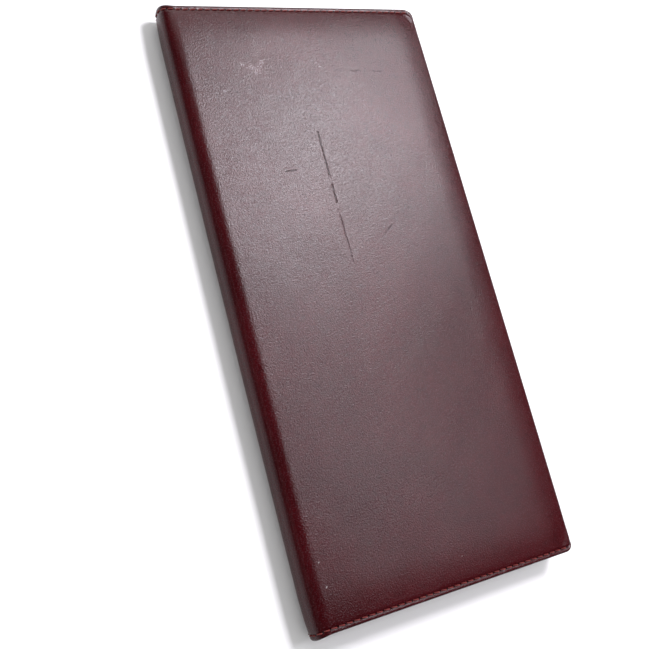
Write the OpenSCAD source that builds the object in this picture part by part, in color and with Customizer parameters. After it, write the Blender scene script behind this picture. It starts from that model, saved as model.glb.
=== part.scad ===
// Long bifold wallet, closed and lying on its back cover.
// X runs from the spine (-X) to the free edge (+X), Y runs along the spine, Z is up.
// The origin is under the middle of the closed wallet, on the surface that it lies on.
// The shell is one leather piece. It is drawn as two covers and a spine with a hinge line between
// each, so that it can open, and each cover's leather turns over the free edge into a flap.

/* [Closed size] */
// Width from the spine to the free edge
closed_w = 90; // [86:1:98]
// Length along the spine
closed_l = 184; // [178:1:196]
// Thickness of the closed wallet
closed_t = 10; // [9.6:0.2:12]
// Radius of the two corners at the free edge
corner_r = 4; // [3:0.5:6]

/* [Shell] */
// Thickness of the shell leather
leather_t = 1.1; // [0.9:0.1:1.2]
// Thickness of the bonded-fibre interlining behind the leather
interlining_t = 0.5; // [0.4:0.1:0.6]
// Thickness of the woven lining
lining_t = 0.2; // [0.2:0.1:0.3]
// Thickness of the leather where it turns over the free edge and forms the inner flap
flap_t = 0.8; // [0.6:0.1:0.9]
// How far the flap reaches in from the free edge
flap_reach = 79; // [77:1:80]
// Gap between the spine and each cover at their hinge line
hinge_gap = 0.1; // [0.05:0.05:0.2]

/* [Pockets] */
// Height of the bill pocket between the lining and the flap
bill_gap = 0.5; // [0.4:0.1:0.6]
// Thickness of each card strip and of the slip pocket
strip_t = 0.65; // [0.5:0.05:0.7]
// Height of each empty card pocket
card_gap = 0.1; // [0.1:0.05:0.15]
// Distance from the free edge to the mouth of the card pocket nearest the spine
mouth_reach = 74; // [72:1:75]
// Distance between one card pocket's mouth and the next
mouth_step = 12; // [10:1:13]
// Distance from the free edge to the base of the card strips
strip_base = 4; // [3.5:0.5:6]
// Distance from the free edge to the mouth of the slip pocket
slip_reach = 66; // [55:1:72]
// Radius of the thumb notch in the slip pocket's mouth
notch_r = 12; // [9:1:14]

/* [Stitching] */
// Distance from the short ends to the seam
seam_inset = 1.4; // [1.2:0.1:2]
// Width of the margin that the seam closes
seam_margin = 3; // [2.5:0.5:4]
// Distance from one stitch to the next
stitch_pitch = 2.37; // [2.2:0.01:2.6]
// Length of one stitch
stitch_l = 1.8; // [1.5:0.1:1.9]
// Thickness of the thread
thread_w = 0.5; // [0.4:0.1:0.6]
// Depth of the groove that the thread lies in
groove_d = 0.3; // [0.2:0.05:0.35]

/* [Hidden] */
CARD_STRIPS = 3;
// The half-round bend is measured as an angle from the back cover's flat. It opens on two hinge
// lines on its outer face, each a quarter of the way in from a cover, and each opens by 90 degrees.
HINGE_ANGLE = 45;
ARC_STEPS = 16;
bend_r = closed_t / 2;
bend_x = bend_r - closed_w / 2;
// Surfaces of the back cover's layers, from the outside in
interlining_z = leather_t;
lining_z = interlining_z + interlining_t;
bill_z = lining_z + lining_t;
flap_z = bill_z + bill_gap;
flap_top_z = flap_z + flap_t;
fold_r = flap_top_z / 2;
fold_x = closed_w / 2 - fold_r;
flap_x = closed_w / 2 - flap_reach;
strip_end_x = closed_w / 2 - strip_base;
slip_x = closed_w / 2 - slip_reach;
seam_y = closed_l / 2 - seam_inset;
// The seam stops this far from the free edge
seam_stop = 2;
// The seam along the base of the pockets stops short of the seams at the ends
base_seam_x = strip_end_x - seam_inset;
base_seam_y = seam_y - stitch_pitch;
groove_w = thread_w + 0.2;
// The thread lies this far below the face of its groove
thread_sink = 0.02;
// Overshoot of a cutting tool past the face that it opens
cut = 1;
$fn = 64;

LEATHER = [0.29, 0.07, 0.10];
THREAD = [0.42, 0.10, 0.13];
LINING = [0.22, 0.10, 0.11];
INTERLINING = [0.72, 0.66, 0.58];

// Height of the underside and of the upper side of card strip i, counted from the flap
function strip_z(i) = flap_top_z + card_gap + (i - 1) * (strip_t + card_gap);
function strip_top(i) = strip_z(i) + strip_t;
// Where card strip i's mouth lies, and where the next strip covers it
function mouth_x(i) = closed_w / 2 - mouth_reach + (i - 1) * mouth_step;
function shown_to_x(i) = i < CARD_STRIPS ? mouth_x(i + 1) : strip_end_x;

// The covers' outline seen from above, from the spine's bend to the free edge
module cover_outline() {
    translate([bend_x, -closed_l / 2, 0])
        cube([closed_w / 2 - corner_r - bend_x, closed_l, closed_t]);
    translate([bend_x, corner_r - closed_l / 2, 0])
        cube([closed_w / 2 - bend_x, closed_l - 2 * corner_r, closed_t]);
    for (side = [-1, 1])
        translate([closed_w / 2 - corner_r, side * (closed_l / 2 - corner_r), 0])
            cylinder(r = corner_r, h = closed_t);
}

// A flat layer within the outline, between two heights
module layer(from_x, to_x, from_z, thickness) {
    intersection() {
        cover_outline();
        translate([from_x, -closed_l / 2, from_z])
            cube([to_x - from_x, closed_l, thickness]);
    }
}

// A point on the bend, and an arc of such points
function bend_point(angle, radius) =
    [bend_x - radius * sin(angle), bend_r - radius * cos(angle)];
function bend_arc(from_angle, to_angle, radius) =
    [for (i = [0:ARC_STEPS])
        bend_point(from_angle + (to_angle - from_angle) * i / ARC_STEPS, radius)];

// A cross-section in X and Z, drawn out along Y
module along_spine(points, length) {
    rotate([90, 0, 0])
        linear_extrude(length, center = true)
            polygon(points);
}

// Part of the bend, between two angles and two depths from its outer face
module bend_part(from_angle, to_angle, from_depth, to_depth, length) {
    along_spine(concat(
        bend_arc(from_angle, to_angle, bend_r - from_depth),
        bend_arc(to_angle, from_angle, bend_r - to_depth)
    ), length);
}

// Half the hinge's gap as an angle, at the inside of the leather
gap_angle = hinge_gap / (2 * (bend_r - leather_t)) * 180 / PI;
cover_end = HINGE_ANGLE - gap_angle;
spine_start = HINGE_ANGLE + gap_angle;
// The middle of the short bend that each cover carries
cover_bend_middle = HINGE_ANGLE / 2;

// One layer of a cover: flat from the free edge to the bend, then on round to the hinge line
module cover_layer(depth, thickness) {
    intersection() {
        union() {
            cover_outline();
            translate([bend_x - bend_r, -closed_l / 2, 0])
                cube([bend_r + cut, closed_l, closed_t]);
        }
        along_spine(concat(
            [[fold_x, depth]],
            bend_arc(0, cover_end, bend_r - depth),
            bend_arc(cover_end, 0, bend_r - depth - thickness),
            [[fold_x, depth + thickness]]
        ), closed_l);
    }
}

// One layer of the spine, between the two hinge lines
module spine_layer(depth, thickness) {
    bend_part(spine_start, 180 - spine_start, depth, depth + thickness, closed_l);
}

// A stitching groove along X, cut down into a face that looks up at face_z
module groove_x(from_x, to_x, y, face_z) {
    translate([from_x, y - groove_w / 2, face_z - groove_d])
        cube([to_x - from_x, groove_w, groove_d + cut]);
}

// Stitches in a row along X, below a face that looks up at face_z
module stitches_x(from_x, to_x, y, face_z) {
    count = floor((to_x - from_x - stitch_l) / stitch_pitch);
    for (i = [0:count])
        translate([from_x + i * stitch_pitch, y - thread_w / 2, face_z - groove_d])
            cube([stitch_l, thread_w, groove_d - thread_sink]);
}

// The groove along the base of a pocket, and the row of stitches in it
module base_groove(face_z) {
    translate([base_seam_x - groove_w / 2, -base_seam_y, face_z - groove_d])
        cube([groove_w, 2 * base_seam_y, groove_d + cut]);
}
module base_stitches(face_z) {
    count = floor((2 * base_seam_y - stitch_l) / stitch_pitch);
    run = count * stitch_pitch + stitch_l;
    for (i = [0:count])
        translate([base_seam_x - thread_w / 2, i * stitch_pitch - run / 2, face_z - groove_d])
            cube([thread_w, stitch_l, groove_d - thread_sink]);
}

// The seam's groove round the outside of part of the bend, at both ends of the spine
module bend_grooves(from_angle, to_angle) {
    for (side = [-1, 1])
        translate([0, side * seam_y, 0])
            bend_part(from_angle, to_angle, -cut, groove_d, groove_w);
}

// Stitches bent to the outside of the spine, with their middles at the given angles
module bend_stitches(middles) {
    half_angle = stitch_l / (2 * bend_r) * 180 / PI;
    for (side = [-1, 1], middle = middles)
        translate([0, side * seam_y, 0])
            bend_part(middle - half_angle, middle + half_angle, thread_sink, groove_d, thread_w);
}

// The back cover's leather. Its outer face looks down, so the seam's grooves open downwards.
module cover_leather() {
    difference() {
        cover_layer(0, leather_t);
        for (side = [-1, 1])
            mirror([0, 0, 1])
                groove_x(bend_x, closed_w / 2 - seam_stop, side * seam_y, 0);
        bend_grooves(0, HINGE_ANGLE);
    }
}

// The half-round edge where the leather turns over
module edge_fold() {
    intersection() {
        cover_outline();
        difference() {
            translate([fold_x, 0, fold_r])
                rotate([90, 0, 0])
                    cylinder(r = fold_r, h = closed_l, center = true);
            translate([fold_x - 2 * fold_r, -closed_l, -cut])
                cube([2 * fold_r, 2 * closed_l, closed_t]);
        }
    }
}

// The turned-in flap
module flap(shown_to) {
    difference() {
        layer(flap_x, fold_x, flap_z, flap_t);
        for (side = [-1, 1])
            groove_x(flap_x, shown_to, side * seam_y, flap_top_z);
    }
}

// The flap's margins at the short ends, pressed down onto the lining, which close the bill pocket
module flap_margins() {
    for (side = [-1, 1])
        intersection() {
            layer(flap_x, fold_x, bill_z, bill_gap);
            translate([0, side * (closed_l / 2 - seam_margin / 2), 0])
                cube([closed_w, seam_margin, 2 * closed_t], center = true);
        }
}

// Card strip i, from its mouth to the base of the pockets, with grooves where it shows
module card_strip(i) {
    difference() {
        layer(mouth_x(i), strip_end_x, strip_z(i), strip_t);
        for (side = [-1, 1])
            groove_x(mouth_x(i), shown_to_x(i), side * seam_y, strip_top(i));
        groove_x(mouth_x(i), min(shown_to_x(i), base_seam_x), 0, strip_top(i));
        if (i == CARD_STRIPS)
            base_groove(strip_top(i));
    }
}

// The line that divides the card pockets into two columns, on each step, and the line along their base
module card_pocket_thread() {
    color(THREAD) {
        for (i = [1:CARD_STRIPS])
            stitches_x(mouth_x(i) + thread_w, min(shown_to_x(i), base_seam_x - thread_w),
                0, strip_top(i));
        base_stitches(strip_top(CARD_STRIPS));
    }
}

// The seam's thread on the outer face of the back cover and on the face inside it
module seam_thread(inside_from, inside_to) {
    for (side = [-1, 1]) {
        mirror([0, 0, 1])
            stitches_x(bend_x, closed_w / 2 - seam_stop, side * seam_y, 0);
        stitches_x(inside_from + thread_w, inside_to, side * seam_y, flap_top_z);
    }
    bend_stitches([cover_bend_middle]);
}

// The slip pocket of the front cover, drawn as on the back cover
module slip_pocket_body() {
    difference() {
        layer(slip_x, strip_end_x, strip_z(1), strip_t);
        translate([slip_x, 0, 0])
            cylinder(r = notch_r, h = closed_t);
        for (side = [-1, 1])
            groove_x(slip_x, strip_end_x, side * seam_y, strip_top(1));
        base_groove(strip_top(1));
    }
}

// Turns what is drawn on the back cover into its twin on the front cover
module on_front() {
    translate([0, 0, closed_t])
        mirror([0, 0, 1])
            children();
}

module back_cover() { color(LEATHER) cover_leather(); }
module back_interlining() { color(INTERLINING) cover_layer(interlining_z, interlining_t); }
module back_lining() { color(LINING) cover_layer(lining_z, lining_t); }
module back_edge_fold() { color(LEATHER) edge_fold(); }
module back_flap() { color(LEATHER) flap(mouth_x(1)); }
module back_flap_margins() { color(LEATHER) flap_margins(); }
module back_seam_thread() {
    color(THREAD) {
        seam_thread(flap_x, mouth_x(1));
        for (i = [1:CARD_STRIPS], side = [-1, 1])
            stitches_x(mouth_x(i) + thread_w, shown_to_x(i), side * seam_y, strip_top(i));
    }
}

module spine_leather() {
    color(LEATHER)
        difference() {
            spine_layer(0, leather_t);
            bend_grooves(HINGE_ANGLE, 180 - HINGE_ANGLE);
        }
}
module spine_interlining() { color(INTERLINING) spine_layer(interlining_z, interlining_t); }
module spine_lining() { color(LINING) spine_layer(lining_z, lining_t); }

// Three stitches over the spine at each end, at the seam's own pitch
module spine_thread() {
    pitch_angle = stitch_pitch / bend_r * 180 / PI;
    color(THREAD) bend_stitches([90 - pitch_angle, 90, 90 + pitch_angle]);
}

module front_cover() { color(LEATHER) on_front() cover_leather(); }
module front_interlining() { color(INTERLINING) on_front() cover_layer(interlining_z, interlining_t); }
module front_lining() { color(LINING) on_front() cover_layer(lining_z, lining_t); }
module front_edge_fold() { color(LEATHER) on_front() edge_fold(); }
module front_flap() { color(LEATHER) on_front() flap(slip_x); }
module front_flap_margins() { color(LEATHER) on_front() flap_margins(); }
module slip_pocket() { color(LEATHER) on_front() slip_pocket_body(); }

module slip_pocket_thread() { color(THREAD) on_front() base_stitches(strip_top(1)); }
module front_seam_thread() {
    color(THREAD)
        on_front() {
            seam_thread(flap_x, slip_x);
            for (side = [-1, 1])
                stitches_x(slip_x + thread_w, strip_end_x, side * seam_y, strip_top(1));
        }
}

back_cover();
back_interlining();
back_lining();
back_edge_fold();
back_flap();
back_flap_margins();
for (i = [1:CARD_STRIPS])
    color(LEATHER) card_strip(i);
card_pocket_thread();
back_seam_thread();
spine_leather();
spine_interlining();
spine_lining();
spine_thread();
front_cover();
front_interlining();
front_lining();
front_edge_fold();
front_flap();
front_flap_margins();
slip_pocket();
slip_pocket_thread();
front_seam_thread();
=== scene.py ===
"""The looks of a long bifold wallet in smooth bordeaux leather, closed and lying on its back cover.

Both covers are drawn by the same code. A point is given by its place along the leather, its place
along the spine and its depth below the face, and the front cover is the back one's mirror image.
Lengths are in millimetres until a mesh is made.
"""

import math

import bpy
import numpy as np
from mathutils import Matrix, Vector

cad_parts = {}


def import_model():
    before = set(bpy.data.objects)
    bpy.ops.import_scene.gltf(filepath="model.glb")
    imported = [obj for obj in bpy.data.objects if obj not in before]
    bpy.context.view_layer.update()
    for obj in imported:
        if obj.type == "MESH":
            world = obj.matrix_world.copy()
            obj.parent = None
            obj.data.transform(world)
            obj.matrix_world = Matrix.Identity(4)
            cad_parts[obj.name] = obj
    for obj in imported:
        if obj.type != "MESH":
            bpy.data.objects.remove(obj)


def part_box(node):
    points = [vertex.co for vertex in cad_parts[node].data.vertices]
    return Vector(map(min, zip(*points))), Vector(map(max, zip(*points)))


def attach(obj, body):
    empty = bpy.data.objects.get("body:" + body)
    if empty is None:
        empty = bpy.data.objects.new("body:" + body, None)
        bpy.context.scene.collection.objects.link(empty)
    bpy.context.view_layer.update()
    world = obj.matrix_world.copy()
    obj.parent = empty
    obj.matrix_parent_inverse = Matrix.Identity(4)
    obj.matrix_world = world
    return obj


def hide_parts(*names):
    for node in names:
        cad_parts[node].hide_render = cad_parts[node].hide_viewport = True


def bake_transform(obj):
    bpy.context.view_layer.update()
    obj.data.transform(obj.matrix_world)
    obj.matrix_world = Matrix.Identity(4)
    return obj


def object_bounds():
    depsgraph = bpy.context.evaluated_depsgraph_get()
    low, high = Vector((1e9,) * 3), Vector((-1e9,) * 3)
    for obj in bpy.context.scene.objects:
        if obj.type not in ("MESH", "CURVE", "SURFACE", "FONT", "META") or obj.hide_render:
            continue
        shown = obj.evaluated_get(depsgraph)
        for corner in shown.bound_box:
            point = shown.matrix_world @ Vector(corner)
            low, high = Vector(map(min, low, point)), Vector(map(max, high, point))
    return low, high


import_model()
cad_lo, cad_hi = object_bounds()
MM = 0.001


# ---------------------------------------------------------------- sizes, from the CAD parts

def span(node):
    """The lowest and the highest corner of a CAD node at rest, in millimetres."""
    low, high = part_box(node)
    return np.array(low) / MM, np.array(high) / MM


LOW, HIGH = np.array(cad_lo) / MM, np.array(cad_hi) / MM
HALF_W, HALF_L = (HIGH[0] - LOW[0]) / 2, (HIGH[1] - LOW[1]) / 2
THICK = HIGH[2] - LOW[2]
BEND_R = THICK / 2
BEND_X = BEND_R - HALF_W
LEATHER_T = span("back_interlining")[0][2]
LINING_LOW = span("back_lining")[0][2]
LINING_TOP = span("back_flap_margins")[0][2]
FLAP_X, FLAP_LOW = span("back_flap")[0][0], span("back_flap")[0][2]
FLAP_TOP = span("back_flap")[1][2]
FOLD_R = FLAP_TOP / 2
FOLD_X = HALF_W - FOLD_R
STRIPS = [span(f"card_strip_{i}") for i in (1, 2, 3)]
SLIP_LOW, SLIP_HIGH = span("slip_pocket")
POCKET_END = SLIP_HIGH[0]
SEAM_W = 0.5
SEAM_Y = span("back_seam_thread")[1][1] - SEAM_W / 2
SEAM_END = span("back_seam_thread")[1][0]
BASE_LOW, BASE_HIGH = span("slip_pocket_thread")
BASE_X = (BASE_LOW[0] + BASE_HIGH[0]) / 2

# ---------------------------------------------------------------- sizes of the finish

CORNER_R = {1: 4.0, -1: 3.2}      # plan radius of the free edge's corners, at +y and at -y
SPINE_END_OUT = {1: 1.3, -1: 0.8}    # how far the spine's middle stands out at the +y and the -y end
SPINE_BULGE = 0.35                # how far the spine stands proud half way along
SPINE_SQUARE = 0.45               # how far its two shoulders stand out past a half round
EDGE_MARGIN, END_MARGIN = 11.0, 12.0    # width of the pressed margins at the free edge and the short ends
OUTER_DROP, INNER_DROP = 0.70, 0.27    # how far the outer face and the innermost layer sink there
SWELL = 0.10                      # how far the middle of a cover rises and falls
RIM_R = 0.45                      # rounding of the painted edge
TIGHT_R = 0.15                    # rounding of its hidden side
FLAP_END_R = 0.35                 # rounding of the flap's free edge
MOUTH_R, POCKET_R = 0.28, 0.25    # rounding of a pocket's mouth, and of its other edges
POCKET_INSET, STRIP_INSET = 0.05, 0.07    # from the short ends to a pocket, and more for each strip above
CARD_LIFT, TOP_CARD_LIFT, SLIP_LIFT = 0.35, 0.18, 0.14    # how far the middle of a mouth stands up
MOUTH_CREASE, MOUTH_CREASE_IN = 0.07, 1.5    # the creased line along a mouth, and its distance from it
PINCH_SHARE = 0.46                # a rounded edge takes this share of the thickness from each face
WEAR_WIDTH = 0.9                  # how far in from an edge the leather is worn or painted
UNDERSIDE_SHIFT = 20.0            # keeps the pattern on the underside apart from the one on the face
SHARP_DEGREES = 50                # faces that meet at a steeper angle keep a hard edge
BINDING_IN, BINDING_SOFT = 3.4, 0.6    # where the leather starts to close in the layers at a short end
SKIVE_LEAD = 1.5                  # the skiving starts this far before the turn at the free edge
STITCH_PITCH, STITCH_L = 2.37, 1.95    # from stitch to stitch, and the length of one
THREAD_R = 0.21
STITCH_SLANT = 0.22               # how far one end of a stitch lies beside the other
STITCH_DIP = 0.17                 # how deep a stitch's ends go into the leather
STITCH_RINGS, STITCH_SIDES = 9, 8    # of a stitch's mesh
PLY_RIDGE, PLY_TURN = 0.13, 7.0   # height of the thread's two plies, and their twist along a stitch
GROOVE_D, GROOVE_SPREAD = 0.24, 0.42    # depth and half width of the groove along a seam
NOTCH_R, NOTCH_SHARE = 12.0, 0.96    # half the width of the thumb notch, and its depth as a share of that
SKIN_GAP = 0.02                   # clearance between glued layers
CREASE_X, CREASE_FROM, CREASE_TO = -4.4, 7.0, 49.0    # the crease in the front cover, and its ends in y
CREASE_GAP_FROM, CREASE_GAP_TO = 22.0, 26.0    # where its dark line is broken
CREASE_D, CREASE_SPREAD, CREASE_SOFT = 0.05, 0.4, 6.0    # depth, half width, and fading at its ends
IMPRINT_X, IMPRINT_FROM, IMPRINT_TO = 12.0, 8.0, 62.0    # a pocket's mouth that shows through
IMPRINT_H, IMPRINT_SPREAD, IMPRINT_SOFT = 0.05, 1.7, 10.0

BEND_LEN = BEND_R * math.pi / 2
FLAT_LEN = FOLD_X - BEND_X
FOLD_LEN = FOLD_R * math.pi
AT_FOLD = BEND_LEN + FLAT_LEN
AT_FLAP = AT_FOLD + FOLD_LEN
SHELL_LEN = AT_FLAP + FOLD_X - FLAP_X


def along(x):
    """The place along the leather of a point x on the outer face's flat."""
    return BEND_LEN + x - BEND_X


def ease(t):
    """0 to 1 with a soft start and end."""
    t = np.clip(t, 0, 1)
    return t * t * (3 - 2 * t)


def window(v, low, high, soft):
    """1 between low and high, and softly 0 outside."""
    return ease((v - low) / soft) * ease((high - v) / soft)


def bump(v, middle, width):
    """A soft bump of height 1."""
    return np.exp(-((v - middle) / width) ** 2)


# ---------------------------------------------------------------- where the surfaces lie

def slow_waves(x, y):
    """Slow unevenness from -1 to 1, as in leather that has been carried."""
    return (
        0.45 * np.sin(0.050 * x + 0.036 * y + 1.0)
        + 0.30 * np.sin(0.110 * x - 0.071 * y + 2.1)
        + 0.15 * np.sin(0.190 * x + 0.160 * y + 4.0)
        + 0.10 * np.sin(0.310 * x - 0.270 * y + 0.7)
    )


def pressed(x, y):
    """0 over the middle of a cover, and 1 at its free edge and its short ends."""
    from_edge = np.clip(1 - (HALF_W - x) / EDGE_MARGIN, 0, 1)
    from_end = np.clip(1 - (HALF_L - np.abs(y)) / END_MARGIN, 0, 1)
    return np.clip(from_edge ** 2 + from_end ** 2, 0, 1)


def settle(x, y, layer, front):
    """How far a point sinks in from the cover's outer face. The bill pocket closes at the margins."""
    thin = pressed(x, y)
    waves = slow_waves(x, y)
    swell = SWELL * (waves if front else 0.5 + 0.5 * waves)
    inside = np.clip((layer - LINING_TOP) / (FLAP_LOW - LINING_TOP), 0, 1)
    outer = OUTER_DROP * thin + swell * (1 - thin)
    return outer * (1 - inside) + INNER_DROP * thin * inside


def length_share(x, y, turn):
    """The share of y that is left at the rounded corners, and more than 1 at the spine's ends."""
    radius = np.where(y > 0, CORNER_R[1], CORNER_R[-1])
    over = np.clip(x - (HALF_W - radius), 0, radius)
    cut = radius - np.sqrt(radius ** 2 - over ** 2)
    out = np.where(y > 0, SPINE_END_OUT[1], SPINE_END_OUT[-1]) * turn ** 2 * (np.abs(y) / HALF_L) ** 6
    return 1 + (out - cut) / HALF_L


def world(x, y, h, front):
    """Points in the row frame from x, y and the height over the cover's outer face."""
    z = THICK - h if front else h
    return np.stack(np.broadcast_arrays(x, y, z), axis=-1)


def shell_point(s, y, depth, front):
    """A point of the shell: s runs from the spine's middle, over the outer face, round the free
    edge and back along the flap, and depth counts in from the face that shows."""
    s, y, depth = np.broadcast_arrays(*(np.asarray(v, float) for v in (s, y, depth)))
    phi = math.pi / 2 - np.clip(s, 0, BEND_LEN) / BEND_R
    psi = np.clip(s - AT_FOLD, 0, FOLD_LEN) / FOLD_R
    run = np.clip(s - BEND_LEN, 0, FLAT_LEN) - np.clip(s - AT_FLAP, 0, None)
    x = BEND_X - BEND_R * np.sin(phi) + run + FOLD_R * np.sin(psi)
    h = BEND_R * (1 - np.cos(phi)) + FOLD_R * (1 - np.cos(psi))
    face_x = x
    x = x + depth * (np.sin(phi) - np.sin(psi))
    h = h + depth * np.cos(phi) * np.cos(psi)
    turn = np.sin(phi)
    layer = np.where(s < BEND_LEN, depth, h)
    sink = settle(face_x, y, layer, front) * np.where(s < BEND_LEN, 1 - turn ** 4, 1)
    sink = sink + np.where(s < BEND_LEN, OUTER_DROP * pressed(BEND_X, y) * turn ** 4, 0)
    sink = sink - SPINE_BULGE * (1 - (y / HALF_L) ** 2) * turn ** 2
    sink = sink - SPINE_SQUARE * np.sin(2 * phi) ** 2
    return world(x + sink * turn, y * length_share(face_x, y, turn), h + sink * np.cos(phi), front)


def pocket_point(x, y, depth, top, front, lift):
    """A point of a pocket leather whose face is at height top over the cover's outer face, and lift more."""
    x, y, depth = np.broadcast_arrays(*(np.asarray(v, float) for v in (x, y, depth)))
    h = top - depth + lift
    return world(x, y * length_share(x, y, 0), h + settle(x, y, h, front), front)


# ---------------------------------------------------------------- meshes

FACES_SAMPLED = 4000    # enough faces to tell a mesh's inside from its outside


def make_piece(name, points, faces, material, attributes=()):
    """A smooth-shaded mesh object from points in millimetres. Its faces look outwards."""
    points = np.asarray(points, float).reshape(-1, 3)
    volume, centre = 0.0, points.mean(0)
    for face in faces[:: max(1, len(faces) // FACES_SAMPLED)]:
        corners = points[list(face)]
        for k in range(1, len(face) - 1):
            volume += np.dot(corners[0] - centre, np.cross(corners[k] - centre, corners[k + 1] - centre))
    if volume < 0:
        faces = [tuple(reversed(face)) for face in faces]
    mesh = bpy.data.meshes.new(name)
    mesh.from_pydata((points * MM).tolist(), [], faces)
    for key, values in attributes:
        kind = "FLOAT_VECTOR" if np.ndim(values) == 2 else "FLOAT"
        field = "vector" if np.ndim(values) == 2 else "value"
        stored = mesh.attributes.new(key, kind, "POINT")
        stored.data.foreach_set(field, np.asarray(values, np.float32).ravel())
    mesh.polygons.foreach_set("use_smooth", np.ones(len(mesh.polygons), bool))
    mesh.set_sharp_from_angle(angle=math.radians(SHARP_DEGREES))
    mesh.update()
    piece = bpy.data.objects.new(name, mesh)
    bpy.context.scene.collection.objects.link(piece)
    mesh.materials.append(material)
    return piece


def graded(half, band, fine, coarse):
    """Positions from -half to half, finely spaced in a band at both ends."""
    ends = np.linspace(half - band, half, round(band / fine) + 1)
    middle = np.linspace(band - half, half - band, round(2 * (half - band) / coarse) + 1)
    return np.concatenate([-ends[::-1], middle[1:-1], ends])


def run_of(low, high, step):
    """Positions from low to high, about one step apart."""
    return np.linspace(low, high, max(2, round((high - low) / step) + 1))


def round_end(tip, radius, low_side=False):
    """Positions on a rounded end, closer together towards its tip, so that it is smooth."""
    steps = radius * (1 - np.cos(np.radians([20, 40, 60, 75, 90])))
    return (tip + radius - steps[::-1]) if low_side else (tip - radius + steps)


def slab(name, place, stations, across, thickness, material,
         groove=None, half=None, rim=RIM_R, tight=TIGHT_R, round_from=0.0, round_to=0.0):
    """A sheet with thickness and rounded edges.

    place(s, y, depth) gives its points, stations are the values of s and across those of y on the
    face, thickness(s, y) is its depth, and groove(s, y) is how far the face sinks. round_from and
    round_to round the first and the last edge.
    """
    half = across[-1] + rim if half is None else half
    turns = np.radians([30, 60, 90])
    past = turns - turns[0]
    y_rim = np.concatenate([half - rim + rim * np.sin(turns), half - tight + tight * np.cos(past)])
    depth_rim = np.concatenate([rim - rim * np.cos(turns), tight * (np.sin(past) - 1)])
    under_rim = np.repeat([0.0, 1.0], len(turns))
    count, side = len(across), len(y_rim)
    # Each loop goes along the face, round one edge, back along the underside and round the other.
    y_loop = np.concatenate([across, y_rim, across[::-1], -y_rim[::-1]])
    depth_loop = np.concatenate([np.zeros(count), depth_rim, np.zeros(count), depth_rim[::-1]])
    under_loop = np.concatenate([np.zeros(count), under_rim, np.ones(count), under_rim[::-1]])
    s, y = np.meshgrid(stations, y_loop, indexing="ij")
    thick = thickness(s, y)
    depth = depth_loop + under_loop * thick
    if groove is not None:
        depth = depth + groove(s, y) * (under_loop == 0)
    pinch = np.zeros_like(s)
    for radius, distance in ((round_from, s - stations[0]), (round_to, stations[-1] - s)):
        if radius:
            left = np.clip(radius - distance, 0, radius)
            pinch = np.maximum(pinch, radius - np.sqrt(radius ** 2 - left ** 2))
    pinch = np.minimum(pinch, PINCH_SHARE * thick)
    depth = np.clip(depth, pinch, thick - pinch)
    y = np.clip(y, pinch - half, half - pinch)
    points = place(s, y, depth)

    size = len(y_loop)
    here, there = np.arange(size), np.roll(np.arange(size), -1)
    faces = []
    for i in range(len(stations) - 1):
        at, after = i * size, (i + 1) * size
        faces += np.stack([at + here, after + here, after + there, at + there], axis=1).tolist()
    face_end = count + side
    for base, turned in ((0, False), ((len(stations) - 1) * size, True)):
        cap = [
            [base + k, base + k + 1, base + face_end + count - 2 - k, base + face_end + count - 1 - k]
            for k in range(count - 1)
        ]
        cap.append([base + k for k in range(count - 1, face_end + 1)])
        cap.append([base + k % size for k in range(face_end + count - 1, size + 1)])
        faces += [list(reversed(face)) for face in cap] if turned else cap

    worn = np.clip(1 - (half - np.abs(y)) / WEAR_WIDTH, 0, 1)
    if round_to:
        worn = np.maximum(worn, np.clip(1 - (stations[-1] - s) / WEAR_WIDTH, 0, 1))
    if round_from:
        worn = np.maximum(worn, np.clip(1 - (s - stations[0]) / WEAR_WIDTH, 0, 1))
    flat = np.stack([s, y, UNDERSIDE_SHIFT * (under_loop + 0 * s)], axis=-1).reshape(-1, 3)
    return make_piece(name, points, faces, material, [("flat", flat), ("rim", worn.ravel())])


def stitch_row(place, starts, across, slant=STITCH_SLANT):
    """Points and faces of a row of stitches. place(u, v, up) takes the distance along the row, the
    distance across it and the height over the leather. Each stitch dives in at both ends."""
    rings, sides = STITCH_RINGS, STITCH_SIDES
    t = np.linspace(0.04, 0.96, rings)[:, None]
    theta = np.linspace(0, 2 * math.pi, sides, endpoint=False)[None, :]
    taper = np.sin(math.pi * t) ** 0.28
    radius = THREAD_R * taper * (1 + PLY_RIDGE * np.cos(2 * theta - PLY_TURN * t))
    rise = STITCH_DIP * np.sin(math.pi * t) ** 0.8 - STITCH_DIP
    points, faces = [], []
    for i, start in enumerate(starts):
        wobble = 0.03 * math.sin(12.9898 * i + across)    # no two stitches lie quite alike
        u = start + STITCH_L * t + 0 * theta
        v = across + wobble + slant * (t - 0.5) + radius * np.cos(theta)
        ring_points = place(u, v, rise + radius * np.sin(theta)).reshape(-1, 3)
        poles = place(
            np.array([start, start + STITCH_L]),
            np.array([across + wobble - slant / 2, across + wobble + slant / 2]),
            np.array([rise[0, 0], rise[-1, 0]]),
        )
        base = i * (rings * sides + 2)
        points += [ring_points, poles]
        for r in range(rings - 1):
            for k in range(sides):
                n = (k + 1) % sides
                faces.append([base + r * sides + k, base + r * sides + n,
                              base + (r + 1) * sides + n, base + (r + 1) * sides + k])
        first, last = base + rings * sides, base + rings * sides + 1
        for k in range(sides):
            n = (k + 1) % sides
            faces.append([first, base + n, base + k])
            faces.append([last, base + (rings - 1) * sides + k, base + (rings - 1) * sides + n])
    return np.concatenate(points), faces


def thread_piece(name, rows, material):
    """One object from several rows of stitches."""
    points, faces, count = [], [], 0
    for row_points, row_faces in rows:
        points.append(row_points)
        faces += [[k + count for k in face] for face in row_faces]
        count += len(row_points)
    points = np.concatenate(points)
    return make_piece(name, points, faces, material, [("flat", points)])


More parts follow.
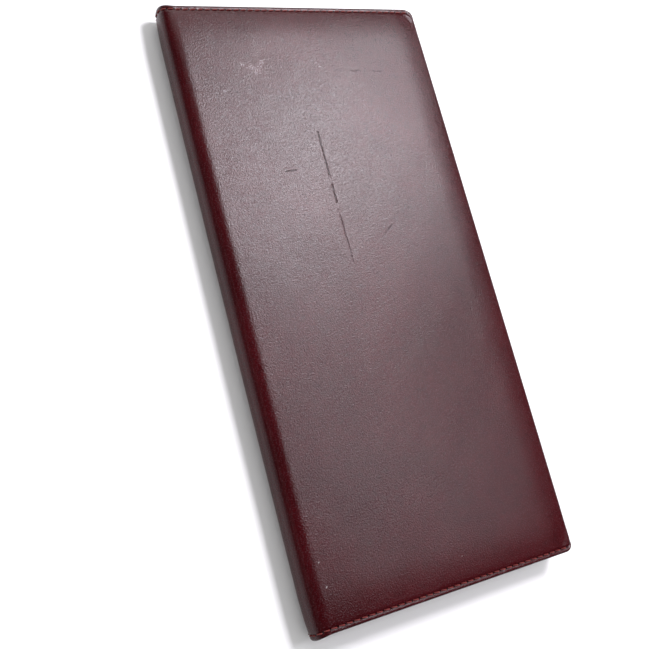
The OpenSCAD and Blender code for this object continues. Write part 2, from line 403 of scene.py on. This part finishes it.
def starts_between(low, high):
    """Where the stitches start that fit between low and high, evenly about the middle."""
    count = int((high - low) // STITCH_PITCH)
    first = (low + high - count * STITCH_PITCH) / 2 + (STITCH_PITCH - STITCH_L) / 2
    return [first + i * STITCH_PITCH for i in range(count)]


# ---------------------------------------------------------------- materials

class Graph:
    """A material's nodes, with short calls for the ones used here."""

    def __init__(self, name):
        self.material = bpy.data.materials.new(name)
        self.material.use_nodes = True
        self.tree = self.material.node_tree
        self.shader = self.tree.nodes["Principled BSDF"]

    def put(self, kind, inputs, **settings):
        made = self.tree.nodes.new(kind)
        for key, value in settings.items():
            setattr(made, key, value)
        for key, value in inputs.items():
            if isinstance(value, bpy.types.NodeSocket):
                self.tree.links.new(value, made.inputs[key])
            else:
                made.inputs[key].default_value = value
        return made

    def attribute(self, name, output="Vector"):
        return self.put("ShaderNodeAttribute", {}, attribute_name=name).outputs[output]

    def math(self, operation, a, b=0.0, c=0.0, clamp=False):
        inputs = {0: a, 1: b, 2: c}
        return self.put("ShaderNodeMath", inputs, operation=operation, use_clamp=clamp).outputs[0]

    def vector(self, operation, a, b=(0.0, 0.0, 0.0), output="Vector"):
        return self.put("ShaderNodeVectorMath", {0: a, 1: b}, operation=operation).outputs[output]

    def noise(self, at, size, detail=2.0, rough=0.5, warp=0.0):
        """Noise whose patches are about size millimetres across."""
        inputs = {"Vector": at, "Scale": 1.0 / size, "Detail": detail, "Roughness": rough, "Distortion": warp}
        return self.put("ShaderNodeTexNoise", inputs).outputs["Fac"]

    def cell_edge(self, at, size):
        """The distance to the nearest edge between cells of about size millimetres."""
        inputs = {"Vector": at, "Scale": 1.0 / size}
        made = self.put("ShaderNodeTexVoronoi", inputs, feature="DISTANCE_TO_EDGE")
        return made.outputs["Distance"]

    def fade(self, value, low, high):
        """0 to 1, softly, as a value goes from low to high."""
        inputs = {"Value": value, "From Min": low, "From Max": high}
        return self.put("ShaderNodeMapRange", inputs, interpolation_type="SMOOTHSTEP").outputs["Result"]

    def blend(self, share, a, b, mode="MIX"):
        """One colour into another."""
        made = self.put("ShaderNodeMix", {"Factor": share}, data_type="RGBA", blend_type=mode)
        for socket, value in ((made.inputs[6], a), (made.inputs[7], b)):
            if isinstance(value, bpy.types.NodeSocket):
                self.tree.links.new(value, socket)
            else:
                socket.default_value = (*value, 1.0)
        return made.outputs[2]

    def set(self, **inputs):
        """Sets or links the shader's own sockets."""
        for key, value in inputs.items():
            socket = self.shader.inputs[key.replace("_", " ")]
            if isinstance(value, bpy.types.NodeSocket):
                self.tree.links.new(value, socket)
            else:
                socket.default_value = value

    def raise_by(self, height, distance, strength=1.0, under=None):
        """Bump of a real height in millimetres."""
        inputs = {"Height": height, "Distance": distance * MM, "Strength": strength}
        if under is not None:
            inputs["Normal"] = under
        return self.put("ShaderNodeBump", inputs).outputs["Normal"]


def streak(g, flat, start, end, width, rag=0.9):
    """A ragged mark from start to end, given in x and y on a cover's outer face."""
    a = Vector((along(start[0]), start[1], 0.0))
    b = Vector((along(end[0]), end[1], 0.0))
    run = b - a
    flatten = g.vector("MULTIPLY", flat, (1.0, 1.0, 0.0))
    off = g.vector("SUBTRACT", flatten, a)
    share = g.math("MULTIPLY", g.vector("DOT_PRODUCT", off, run, "Value"), 1 / run.length_squared, clamp=True)
    on_line = g.put("ShaderNodeVectorMath", {0: run, "Scale": share}, operation="SCALE").outputs[0]
    wander = g.math("MULTIPLY_ADD", g.noise(flat, 1.5, 3.0, 0.65), 2 * rag, -rag)
    away = g.math("ADD", g.vector("DISTANCE", off, on_line, "Value"), wander)
    return g.fade(away, width, 0.25 * width)


def any_of(g, masks):
    """The strongest of several masks."""
    found = masks[0]
    for mask in masks[1:]:
        found = g.math("MAXIMUM", found, mask)
    return found


# The first colour here paints glints of light on the grain's tips; the rubbed colour is wear.
GLINT_COLOUR, RUBBED_COLOUR = (0.075, 0.038, 0.044), (0.16, 0.055, 0.06)
# The next two colours are painted shade: one in the stitch holes, one in creases and scratches.
HOLE_SHADE_COLOUR, CREASE_SHADE_COLOUR = (0.004, 0.001, 0.0015), (0.008, 0.002, 0.003)
SCUFF_COLOUR, SPECK_COLOUR = (0.24, 0.19, 0.20), (0.42, 0.36, 0.35)


def leather(name, deep, light, grain=0.48, rough=0.21, scuffs=(), lines=(), specks=(), holes=True):
    """Smooth dyed calf: fine grain with painted glints on its tips, cloudy dye, painted rims, painted shade
    along the seam, in the stitch holes and in creases, and the marks of use that are given.
    """
    g = Graph(name)
    flat, rim = g.attribute("flat"), g.attribute("rim", "Fac")
    cloud = g.noise(flat, 34.0, 3.0)
    mottle = g.noise(flat, 2.6, 4.0, 0.6)
    pebble = g.noise(flat, grain, 2.5, 0.55)
    crack = g.cell_edge(flat, grain * 1.6)
    pores = g.noise(flat, 0.38, 1.0)
    hide = g.noise(g.vector("MULTIPLY", flat, (1.0, 0.45, 1.0)), 5.0, 3.0, 0.6, 0.6)

    colour = g.blend(g.fade(cloud, 0.3, 0.7), deep, light)
    tone = g.math("MULTIPLY_ADD", mottle, 0.5, 0.75)
    grey = g.put("ShaderNodeCombineColor", {0: tone, 1: tone, 2: tone}).outputs[0]
    colour = g.blend(1.0, colour, grey, "MULTIPLY")
    in_crack = g.fade(crack, 0.10, 0.0)
    colour = g.blend(g.math("MULTIPLY", in_crack, 0.45), colour, tuple(0.35 * c for c in deep))
    roughness = g.math("MULTIPLY_ADD", mottle, 0.12, rough - 0.16)
    roughness = g.math("MULTIPLY_ADD", pores, 0.20, roughness)
    height = g.math("MULTIPLY_ADD", pores, 0.7, pebble)
    height = g.math("MULTIPLY_ADD", in_crack, -0.12, height)

    # Pale dots on the grain's tips are painted glints: they stand in for the sparkle of light on the grain.
    painted_glints = g.math("MULTIPLY", g.fade(pores, 0.52, 0.68), 0.34)
    colour = g.blend(painted_glints, colour, GLINT_COLOUR)

    painted = g.fade(rim, 0.45, 0.95)
    colour = g.blend(painted, colour, tuple(0.6 * c for c in deep))
    rubbed = g.math("MULTIPLY", g.fade(rim, 0.25, 0.6), g.fade(g.noise(flat, 1.6, 3.0, 0.7), 0.56, 0.72))
    rubbed = g.math("MULTIPLY", rubbed, 0.55)
    colour = g.blend(rubbed, colour, RUBBED_COLOUR)

    if holes:
        place = g.put("ShaderNodeSeparateXYZ", {0: flat})
        to_seam = g.math("ABSOLUTE", g.math("SUBTRACT", g.math("ABSOLUTE", place.outputs[1]), SEAM_Y))
        phase = g.math("FRACT", g.math("DIVIDE", place.outputs[0], STITCH_PITCH))
        to_hole = g.math("MULTIPLY", g.math("MINIMUM", phase, g.math("SUBTRACT", 1.0, phase)), STITCH_PITCH)
        squares = g.math("ADD", g.math("POWER", to_seam, 2.0), g.math("POWER", to_hole, 2.0))
        from_hole = g.math("SQRT", squares)
        hole = g.fade(from_hole, 0.36, 0.14)
        # The leather along the seam is painted darker: painted shade in the seam's groove.
        seam_shade = g.math("MULTIPLY", g.fade(to_seam, 0.65, 0.1), 0.35)
        colour = g.blend(seam_shade, colour, tuple(0.4 * c for c in deep))
        # The stitch holes are painted almost black: painted shade inside each hole.
        colour = g.blend(hole, colour, HOLE_SHADE_COLOUR)
        height = g.math("MULTIPLY_ADD", hole, -2.0, height)

    for start, end, width, strength in scuffs:
        mark = g.math("MULTIPLY", streak(g, flat, start, end, width, 1.0), g.fade(pores, 0.46, 0.60))
        mark = g.math("MULTIPLY", mark, strength)
        colour = g.blend(mark, colour, SCUFF_COLOUR)
        roughness = g.math("MULTIPLY_ADD", mark, 0.15, roughness)
    # Each line is painted almost black as painted shade in a crease or scratch, over a real dent in the bump.
    for start, end, width, strength in lines:
        broken = g.fade(g.noise(flat, 5.0, 2.0), 0.36, 0.50)
        mark = g.math("MULTIPLY", streak(g, flat, start, end, width, 0.12), broken)
        mark = g.math("MULTIPLY", mark, strength)
        colour = g.blend(mark, colour, CREASE_SHADE_COLOUR)
        height = g.math("MULTIPLY_ADD", mark, -2.2, height)
    if specks:
        dots = [streak(g, flat, (x, y), (x + size, y + size), size, 0.1) for (x, y), size in specks]
        dots = any_of(g, dots)
        colour = g.blend(g.math("MULTIPLY", dots, 0.7), colour, SPECK_COLOUR)

    normal = g.raise_by(hide, 0.05, 0.4)
    normal = g.raise_by(height, 0.07, 1.0, normal)
    g.set(Base_Color=colour, Roughness=roughness, Normal=normal, Specular_IOR_Level=0.22, IOR=1.5)
    return g.material


def thread_material():
    """Twisted two-ply thread, lighter than the leather and a little fuzzy."""
    g = Graph("burgundy_thread")
    flat = g.attribute("flat")
    ply = g.put("ShaderNodeTexWave", {"Vector": flat, "Scale": 2.4, "Distortion": 1.5, "Detail": 1.0},
                bands_direction="DIAGONAL").outputs["Fac"]
    fibre = g.noise(flat, 0.18, 2.0)
    colour = g.blend(ply, (0.085, 0.012, 0.012), (0.190, 0.034, 0.030))
    colour = g.blend(g.fade(fibre, 0.62, 0.8), colour, (0.28, 0.075, 0.06))
    normal = g.raise_by(g.math("ADD", ply, fibre), 0.05, 0.8)
    g.set(Base_Color=colour, Roughness=g.math("MULTIPLY_ADD", fibre, 0.25, 0.5), Normal=normal,
          Specular_IOR_Level=0.15)
    return g.material


def lining_material():
    """Woven twill: diagonal ribs of warp over a darker weft, with slubs."""
    g = Graph("wine_twill_lining")
    flat = g.attribute("flat")
    place = g.put("ShaderNodeSeparateXYZ", {0: flat})
    x, y = place.outputs[0], place.outputs[1]
    rib = g.math("SINE", g.math("MULTIPLY", g.math("ADD", x, g.math("MULTIPLY", y, 0.7)), 2 * math.pi / 0.62))
    yarn = g.math("SINE", g.math("MULTIPLY", g.math("SUBTRACT", x, y), 2 * math.pi / 0.34))
    weave = g.math("MULTIPLY_ADD", rib, 0.5, g.math("MULTIPLY", yarn, 0.22))
    slub = g.noise(g.vector("MULTIPLY", flat, (1.0, 0.12, 1.0)), 0.8, 2.0)
    colour = g.blend(g.fade(weave, -0.6, 0.6), (0.022, 0.004, 0.006), (0.075, 0.014, 0.020))
    colour = g.blend(g.math("MULTIPLY", g.fade(slub, 0.6, 0.8), 0.5), colour, (0.12, 0.03, 0.035))
    normal = g.raise_by(g.math("MULTIPLY_ADD", slub, 0.4, weave), 0.05, 0.7)
    g.set(Base_Color=colour, Roughness=g.math("MULTIPLY_ADD", slub, 0.2, 0.6), Normal=normal,
          Specular_IOR_Level=0.3, Sheen_Weight=0.25, Sheen_Roughness=0.45)
    return g.material


def interlining_material():
    """Bonded fibre: pale, matted, with darker flecks."""
    g = Graph("bonded_fibre")
    flat = g.attribute("flat")
    mat = g.noise(flat, 0.9, 5.0, 0.7, 2.0)
    fleck = g.fade(g.noise(flat, 0.5, 2.0), 0.66, 0.74)
    colour = g.blend(mat, (0.34, 0.27, 0.20), (0.62, 0.54, 0.44))
    colour = g.blend(fleck, colour, (0.16, 0.11, 0.08))
    g.set(Base_Color=colour, Roughness=g.math("MULTIPLY_ADD", mat, 0.15, 0.8),
          Normal=g.raise_by(mat, 0.08, 0.8), Specular_IOR_Level=0.2)
    return g.material


def floor_material():
    """A pale matt sheet with hardly any tooth."""
    g = Graph("pale_floor")
    at = g.put("ShaderNodeTexCoord", {}).outputs["Object"]
    tooth = g.put("ShaderNodeTexNoise", {"Vector": at, "Scale": 6.0, "Detail": 3.0}).outputs["Fac"]
    g.set(Base_Color=g.blend(tooth, (0.80, 0.80, 0.805), (0.82, 0.82, 0.825)), Roughness=0.8,
          Specular_IOR_Level=0.1)
    return g.material


# The marks of use. A scuff or a line runs from one x, y on the cover to another, and has its half width and
# its strength; a line is painted dark, as painted shade in a crease or scratch. A speck has its x, y and its
# size.
DEEP, LIGHT = (0.028, 0.0012, 0.0022), (0.040, 0.0022, 0.0038)
front_leather = leather(
    "bordeaux_calf_front", DEEP, LIGHT,
    scuffs=[
        ((-24.0, 72.0), (-19.8, 70.0), 0.60, 0.55),
        ((-19.8, 69.2), (-17.2, 72.6), 1.10, 0.65),
        ((-21.4, 71.8), (-18.4, 69.4), 0.90, 0.55),
        ((1.5, 72.5), (4.0, 69.0), 0.30, 0.35),
        ((-31.5, 63.5), (-30.0, 63.5), 0.5, 0.30),
    ],
    lines=[
        ((CREASE_X, CREASE_TO), (CREASE_X, CREASE_GAP_TO), 0.30, 0.6),
        ((CREASE_X, CREASE_GAP_FROM), (CREASE_X, CREASE_FROM), 0.22, 0.3),
        ((-18.6, 37.0), (-15.0, 37.2), 0.24, 0.6),
        ((13.5, 69.2), (25.0, 69.0), 0.20, 0.3),
        ((8.0, 13.5), (12.5, 17.0), 0.26, 0.4),
    ],
    specks=[((-39.6, -73.5), 0.16), ((-39.2, -80.2), 0.20), ((4.4, -83.4), 0.13)],
)
back_leather = leather(
    "bordeaux_calf_back", DEEP, LIGHT,
    scuffs=[
        ((-12.0, 52.0), (-4.0, 55.0), 1.4, 0.30),
        ((20.0, -34.0), (27.0, -29.0), 1.0, 0.35),
        ((-28.0, -66.0), (-25.0, -62.0), 0.8, 0.35),
    ],
    lines=[((6.0, 20.0), (7.5, -6.0), 0.28, 0.5), ((-22.0, -20.0), (-14.0, -22.0), 0.25, 0.45)],
    specks=[((30.0, 61.0), 0.15), ((-33.0, 12.0), 0.18)],
)
pocket_leather = leather("bordeaux_calf_pockets", (0.036, 0.0030, 0.0046), (0.048, 0.0046, 0.0070),
                         grain=0.6, rough=0.40, holes=False)
thread = thread_material()
twill = lining_material()
fibre = interlining_material()


# ---------------------------------------------------------------- the shell and its layers

def shell_thickness(s, y):
    """The leather is skived round the free edge, and closes the layers in at the short ends."""
    at_end = ease((np.abs(y) - (HALF_L - BINDING_IN)) / BINDING_SOFT)
    outer = LEATHER_T + (LINING_LOW - LEATHER_T - SKIN_GAP) * at_end
    flap = FLAP_TOP - FLAP_LOW + (FLAP_LOW - LINING_TOP - SKIN_GAP) * at_end
    round_fold = np.clip((s - AT_FOLD + SKIVE_LEAD) / (FOLD_LEN + SKIVE_LEAD), 0, 1)
    return outer + (flap - outer) * ease(round_fold)


def seam_groove(s, y):
    """The face dips along the seam, and more under each stitch."""
    under = 0.78 + 0.22 * np.cos(2 * math.pi * (s / STITCH_PITCH - 0.5))
    return GROOVE_D * under * bump(np.abs(y), SEAM_Y, GROOVE_SPREAD)


def front_groove(s, y):
    """The seam, a crease, and the imprint of a pocket's mouth, on the front cover's outer face."""
    x = s - BEND_LEN + BEND_X
    crease_x = CREASE_X + 0.2 * np.sin(0.35 * y)
    crease = bump(x, crease_x, CREASE_SPREAD) * window(y, CREASE_FROM, CREASE_TO, CREASE_SOFT)
    imprint_x = IMPRINT_X + 0.4 * np.sin(0.11 * y)
    imprint = bump(x, imprint_x, IMPRINT_SPREAD) * window(y, IMPRINT_FROM, IMPRINT_TO, IMPRINT_SOFT)
    return seam_groove(s, y) + np.where(s < AT_FOLD, CREASE_D * crease - IMPRINT_H * imprint, 0)


# Each station is a row of the mesh across the leather. They are closer together at the middle of the
# spine, where the two halves meet, and on the turn at the free edge.
bend_angles = np.concatenate([[0, 1, 2.5, 5], np.arange(9, 88, 5), [90]])
bend_stations = np.radians(bend_angles) * BEND_R
shell_stations = np.concatenate([
    bend_stations,
    run_of(BEND_LEN, AT_FOLD, STITCH_PITCH / 6)[1:],
    np.linspace(AT_FOLD, AT_FLAP, 19)[1:],
    run_of(AT_FLAP, SHELL_LEN - FLAP_END_R, STITCH_PITCH / 3)[1:],
    round_end(SHELL_LEN, FLAP_END_R),
])
shell_across = graded(HALF_L - RIM_R, 4.2, 0.3, 1.9)
cloth_stations = np.concatenate([bend_stations, run_of(BEND_LEN, along(FOLD_X - 0.3), 1.4)[1:]])
fibre_stations = np.concatenate([bend_stations, run_of(BEND_LEN, along(FOLD_X - 0.7), 2.8)[1:]])
cloth_across = graded(HALF_L - 0.4, 4.0, 0.8, 2.4)
fibre_across = graded(HALF_L - 3.7, 2.0, 1.0, 4.0)


def bend_with_spine(piece):
    """Bakes the piece's transform into its mesh."""
    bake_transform(piece)


def layer(name, front, low, high, stations, across, material, slot, wrinkle=0.0):
    """A glued layer behind the shell's leather, between two depths."""
    def place(s, y, depth):
        ripple = np.sin(0.9 * s + 0.5 * np.sin(0.2 * y)) * bump(s, 6.0, 7.0) * np.sin(0.13 * y + s) * wrinkle
        return shell_point(s, y, low + depth + ripple, front)

    return slab(name, place, stations, across, lambda s, y: 0 * s + high - low, material,
                rim=0.06, tight=0.05)


def shell_side(front):
    """One half of the shell, with its interlining, lining and outer seam."""
    side = "front" if front else "back"
    material = front_leather if front else back_leather
    skin = slab(
        f"{side}_shell_leather", lambda s, y, depth: shell_point(s, y, depth, front),
        shell_stations, shell_across, shell_thickness, material,
        groove=front_groove if front else seam_groove, round_to=FLAP_END_R,
    )
    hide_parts(*(f"{side}_{part}" for part in ("cover", "edge_fold", "flap", "flap_margins")))
    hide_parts("spine_leather")
    bend_with_spine(skin)

    board = layer(f"{side}_interlining_fibre", front, LEATHER_T + SKIN_GAP, LINING_LOW - SKIN_GAP,
                  fibre_stations, fibre_across, fibre, "interlining_fibre")
    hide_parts(f"{side}_interlining", "spine_interlining")
    bend_with_spine(board)

    cloth = layer(f"{side}_lining_twill", front, LINING_LOW, LINING_TOP, cloth_stations, cloth_across,
                  twill, "lining_cloth", wrinkle=0.05)
    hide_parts(f"{side}_lining", "spine_lining")
    bend_with_spine(cloth)

    def on_shell(u, v, up):
        return shell_point(u, v, -up, front)

    outer = np.arange(0, along(SEAM_END) - STITCH_L, STITCH_PITCH) + (STITCH_PITCH - STITCH_L) / 2
    first_mouth = SLIP_LOW[0] if front else STRIPS[0][0][0]
    flap_from = SHELL_LEN - (first_mouth - FLAP_X)
    bare_flap = starts_between(flap_from, SHELL_LEN - 0.4)
    rows = [stitch_row(on_shell, outer, end * SEAM_Y, slant=end * STITCH_SLANT) for end in (-1, 1)]
    rows += [stitch_row(on_shell, bare_flap, end * SEAM_Y) for end in (-1, 1)]
    sewn = thread_piece(f"{side}_seam_stitches", rows, thread)
    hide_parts(f"{side}_seam_thread", "spine_thread")
    bend_with_spine(sewn)


for is_front in (False, True):
    shell_side(is_front)


# ---------------------------------------------------------------- pockets

def mouth_lift(x, y, mouth, height):
    """The mouth stands up a little between the lines of stitches that hold it."""
    column = np.sin(math.pi * np.clip(np.abs(y) / SEAM_Y, 0, 1)) ** 2
    return height * column * bump(x, mouth, 5.0)


def base_groove(x, y):
    """The groove of the seam that closes a pocket's base."""
    return GROOVE_D * 0.8 * bump(x, BASE_X, GROOVE_SPREAD) * window(np.abs(y), -1, BASE_HIGH[1], 1)


def pocket_groove(x, y, mouth, shown_to, base, divided):
    """Seams, a creased line along the mouth, and the line that divides the columns."""
    sunk = GROOVE_D * 0.8 * bump(np.abs(y), SEAM_Y, GROOVE_SPREAD) * (x < shown_to)
    sunk = sunk + MOUTH_CREASE * bump(x, mouth + MOUTH_CREASE_IN, 0.22)
    if divided:
        sunk = sunk + GROOVE_D * 0.7 * bump(y, 0, 0.4) * (x < shown_to)
    if base:
        sunk = sunk + base_groove(x, y)
    return sunk


def pocket_across(fine_middle):
    """Positions along a pocket, finer where it is sewn."""
    outer = graded(HALF_L - 0.3, 4.0, 0.4, 2.2)
    if not fine_middle:
        return outer
    return np.unique(np.concatenate([outer[np.abs(outer) > 1.6], np.linspace(-1.5, 1.5, 13)]))


def row_on(place, along_x, from_u, to_u, across):
    """A row of stitches on a pocket, along x or along y."""
    starts = starts_between(from_u, to_u)
    if along_x:
        return stitch_row(lambda u, v, up: place(u, v, -up), starts, across)
    return stitch_row(lambda u, v, up: place(v, u, -up), starts, across)


def card_pockets():
    """Three stepped card strips on the back cover's flap, with their stitches."""
    dividing, ends = [], []
    for i, (low, high) in enumerate(STRIPS):
        mouth, top = low[0], high[2]
        last = i == len(STRIPS) - 1
        shown_to = BASE_X if last else STRIPS[i + 1][0][0]
        rise = TOP_CARD_LIFT if last else CARD_LIFT

        def place(x, y, depth, mouth=mouth, top=top, rise=rise):
            return pocket_point(x, y, depth, top, False, mouth_lift(x, y, mouth, rise))

        def groove(x, y, mouth=mouth, shown_to=shown_to, last=last):
            return pocket_groove(x, y, mouth, shown_to, last, True)

        near = run_of(mouth + MOUTH_R, min(mouth + 13, POCKET_END), 0.45)
        far = run_of(near[-1], POCKET_END - POCKET_R, 0.5 if last else 1.2)
        stations = np.concatenate([
            round_end(mouth, MOUTH_R, True), near[1:], far[1:], round_end(POCKET_END, POCKET_R),
        ])
        strip = slab(
            f"card_strip_{i + 1}_leather", place, np.unique(stations), pocket_across(True),
            lambda x, y, t=high[2] - low[2]: 0 * x + t, pocket_leather,
            groove=groove, half=HALF_L - POCKET_INSET - STRIP_INSET * i, rim=POCKET_R,
            round_from=MOUTH_R, round_to=POCKET_R,
        )
        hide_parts(f"card_strip_{i + 1}")
        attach(strip, "back_cover")
        dividing.append(row_on(place, True, mouth + 0.5, shown_to - 0.2, 0.0))
        sewn_to = shown_to + (0.9 if last else 0)
        ends += [row_on(place, True, mouth + 0.4, sewn_to, end * SEAM_Y) for end in (-1, 1)]
        if last:
            dividing.append(row_on(place, False, BASE_LOW[1], BASE_HIGH[1], BASE_X))
    sewn = thread_piece("card_pocket_stitches", dividing, thread)
    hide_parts("card_pocket_thread")
    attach(sewn, "back_cover")
    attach(thread_piece("card_seam_stitches", ends, thread), "back_cover")


def slip_pocket():
    """The slip pocket on the front cover's flap, with a thumb notch in its mouth."""
    mouth, top = SLIP_LOW[0], THICK - SLIP_LOW[2]
    thick = SLIP_HIGH[2] - SLIP_LOW[2]

    def mouth_at(y):
        """The mouth's edge, cut back in a half round with eased corners."""
        inside = np.clip(1 - (y / NOTCH_R) ** 2, 0, 1)
        shoulder = 1.2 * np.exp(-((np.abs(y) - NOTCH_R) / 1.6) ** 2)
        return mouth + NOTCH_R * np.sqrt(inside) * NOTCH_SHARE + shoulder * (inside == 0)

    def to_x(u, y):
        """The pocket's own lengthwise places, squeezed where the notch cuts it back."""
        edge = mouth_at(y)
        return edge + (u - mouth) * (POCKET_END - edge) / (POCKET_END - mouth)

    def sewn_place(x, y, depth):
        return pocket_point(x, y, depth, top, True, mouth_lift(x, y, mouth, SLIP_LIFT))

    def place(u, y, depth):
        return sewn_place(to_x(u, y), y, depth)

    def groove(u, y):
        return pocket_groove(u, y, mouth, POCKET_END, False, False) + base_groove(to_x(u, y), y)

    near = run_of(mouth + MOUTH_R, mouth + 5, 0.4)
    fine_from = 37    # short of the base's seam, which needs a fine mesh
    stations = np.concatenate([
        round_end(mouth, MOUTH_R, True), near[1:], run_of(near[-1], fine_from, 1.0)[1:],
        run_of(fine_from, POCKET_END - POCKET_R, 0.3)[1:], round_end(POCKET_END, POCKET_R),
    ])
    outer = pocket_across(False)
    notch = NOTCH_R * np.sin(np.radians(np.arange(-90, 91, 5)))
    beside = np.linspace(NOTCH_R + 0.3, NOTCH_R + 4, 9)
    across = np.unique(np.concatenate([outer[np.abs(outer) > NOTCH_R + 4], notch, -beside, beside]))
    pocket = slab("slip_pocket_leather", place, np.unique(stations), across, lambda u, y: 0 * u + thick,
                  pocket_leather, groove=groove, half=HALF_L - POCKET_INSET, rim=POCKET_R,
                  round_from=MOUTH_R, round_to=POCKET_R)
    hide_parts("slip_pocket")
    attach(pocket, "front_cover")
    base_row = row_on(sewn_place, False, BASE_LOW[1], BASE_HIGH[1], BASE_X)
    base = thread_piece("slip_pocket_stitches", [base_row], thread)
    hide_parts("slip_pocket_thread")
    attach(base, "front_cover")
    ends = [row_on(sewn_place, True, mouth + 0.4, POCKET_END - 0.5, end * SEAM_Y) for end in (-1, 1)]
    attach(thread_piece("slip_seam_stitches", ends, thread), "front_cover")


card_pockets()
slip_pocket()


# ---------------------------------------------------------------- stage, light and camera

def make_floor():
    """A wide pale floor just under the wallet."""
    half, z = 4.0, -0.05 * MM
    corners = [(-half, -half, z), (half, -half, z), (half, half, z), (-half, half, z)]
    mesh = bpy.data.meshes.new("floor")
    mesh.from_pydata(corners, [], [(0, 1, 2, 3)])
    mesh.materials.append(floor_material())
    floor = bpy.data.objects.new("floor", mesh)
    bpy.context.scene.collection.objects.link(floor)


def add_light(name, kind, energy, place, aim, glossy=True, **settings):
    """A light at a place in metres that looks at aim. One that isn't glossy has no highlight."""
    data = bpy.data.lights.new(name, kind)
    data.energy = energy
    for key, value in settings.items():
        setattr(data, key, value)
    light = bpy.data.objects.new(name, data)
    light.location = place
    light.rotation_mode = "QUATERNION"
    light.rotation_quaternion = (Vector(aim) - Vector(place)).to_track_quat("-Z", "Y")
    light.visible_camera = False
    light.visible_glossy = glossy
    bpy.context.scene.collection.objects.link(light)


# The camera stands on the spine's side, above the wallet.
CAMERA_AT = Vector((-146.4, -56.3, 241.1)) * MM
CAMERA_AIM = Vector((-16.5, -9.42, 5.0)) * MM
CAMERA_UP = Vector((0.1457, 0.9520, 0.2692))
SENSOR, LENS = 36.0, 51.8


def mirrored(x, y, height):
    """Where a line from the camera that mirrors in the front cover at x, y reaches a height, in metres."""
    spot = Vector((x, y, THICK)) * MM
    away = spot - CAMERA_AT
    return spot + Vector((away.x, away.y, -away.z)) * ((height - spot.z) / -away.z)


WINDOW_COLOUR = (0.97, 0.94, 1.0)
CENTRE = (0, 0, 0)


def window_light(name, x_range, y_range, height, radiance):
    """A level area light whose mirror image covers that part of the front cover."""
    low, high = mirrored(x_range[0], y_range[0], height), mirrored(x_range[1], y_range[1], height)
    middle, size = (low + high) / 2, high - low
    energy = radiance * math.pi * size.x * size.y
    below = middle - Vector((0, 1e-6, 1))
    add_light(name, "AREA", energy, middle, below, shape="RECTANGLE", size=size.x, size_y=size.y,
              color=WINDOW_COLOUR)


make_floor()
# Each window hangs a little lower than the one before, because lights in one plane hide each other.
window_light("window_wide", (-41, 37), (-74, 86), 0.64, 2.4)
window_light("window_high", (-38, 25), (17, 72), 0.60, 50.0)
window_light("window_low", (-40, 6), (-74, -28), 0.56, 4.0)
window_light("window_left", (-40, -20), (-52, -18), 0.52, 18.0)
window_light("window_near", (-22, 6), (-72, -58), 0.48, 28.0)
add_light("key_far_end", "SUN", 1.7, (0.1, 0.9, 0.55), CENTRE, angle=math.radians(50))
add_light("key_near_end", "SUN", 0.9, (0.2, -0.9, 0.7), CENTRE, glossy=False, angle=math.radians(60))
add_light("fill_edge", "SUN", 0.7, (1.0, 0.1, 0.4), CENTRE, glossy=False, angle=math.radians(40))
add_light("fill_spine", "SUN", 1.0, (-0.9, -0.1, 0.6), CENTRE, glossy=False, angle=math.radians(60))
add_light("strip_spine", "AREA", 0.12, (-0.55, 0.0, 0.45), CENTRE, shape="RECTANGLE", size=0.7, size_y=0.02)

HORIZON_LIGHT, ROOM_LIGHT = 0.60, 0.01
HORIZON_FROM, HORIZON_TO = 0.05, 0.15    # as the upward part of a direction
ROOM_COLOUR = (0.95, 0.97, 1.0, 1.0)


def light_the_room():
    """The room is dim overhead, and about as pale as the far floor at the horizon."""
    world_data = bpy.data.worlds.new("studio")
    world_data.use_nodes = True
    sky = world_data.node_tree
    background = sky.nodes["Background"]
    background.inputs["Color"].default_value = ROOM_COLOUR
    towards = sky.nodes.new("ShaderNodeTexCoord")
    split = sky.nodes.new("ShaderNodeSeparateXYZ")
    glow = sky.nodes.new("ShaderNodeMapRange")
    glow.interpolation_type = "SMOOTHSTEP"
    glow.inputs["From Min"].default_value = HORIZON_FROM
    glow.inputs["From Max"].default_value = HORIZON_TO
    glow.inputs["To Min"].default_value = HORIZON_LIGHT
    glow.inputs["To Max"].default_value = ROOM_LIGHT
    sky.links.new(towards.outputs["Generated"], split.inputs[0])
    sky.links.new(split.outputs["Z"], glow.inputs["Value"])
    sky.links.new(glow.outputs["Result"], background.inputs["Strength"])
    bpy.context.scene.world = world_data
    bpy.context.scene.view_settings.view_transform = "Standard"


def place_camera():
    """The camera looks from CAMERA_AT to CAMERA_AIM, turned so that CAMERA_UP is upwards."""
    camera_data = bpy.data.cameras.new("camera")
    camera_data.sensor_width = SENSOR
    camera_data.lens = LENS
    camera_data.clip_start, camera_data.clip_end = 0.01, 20
    camera = bpy.data.objects.new("camera", camera_data)
    bpy.context.scene.collection.objects.link(camera)
    back = (CAMERA_AT - CAMERA_AIM).normalized()
    right = CAMERA_UP.cross(back).normalized()
    turned = Matrix((right, back.cross(right), back)).transposed()
    camera.matrix_world = Matrix.Translation(CAMERA_AT) @ turned.to_4x4()
    bpy.context.scene.camera = camera


light_the_room()
place_camera()
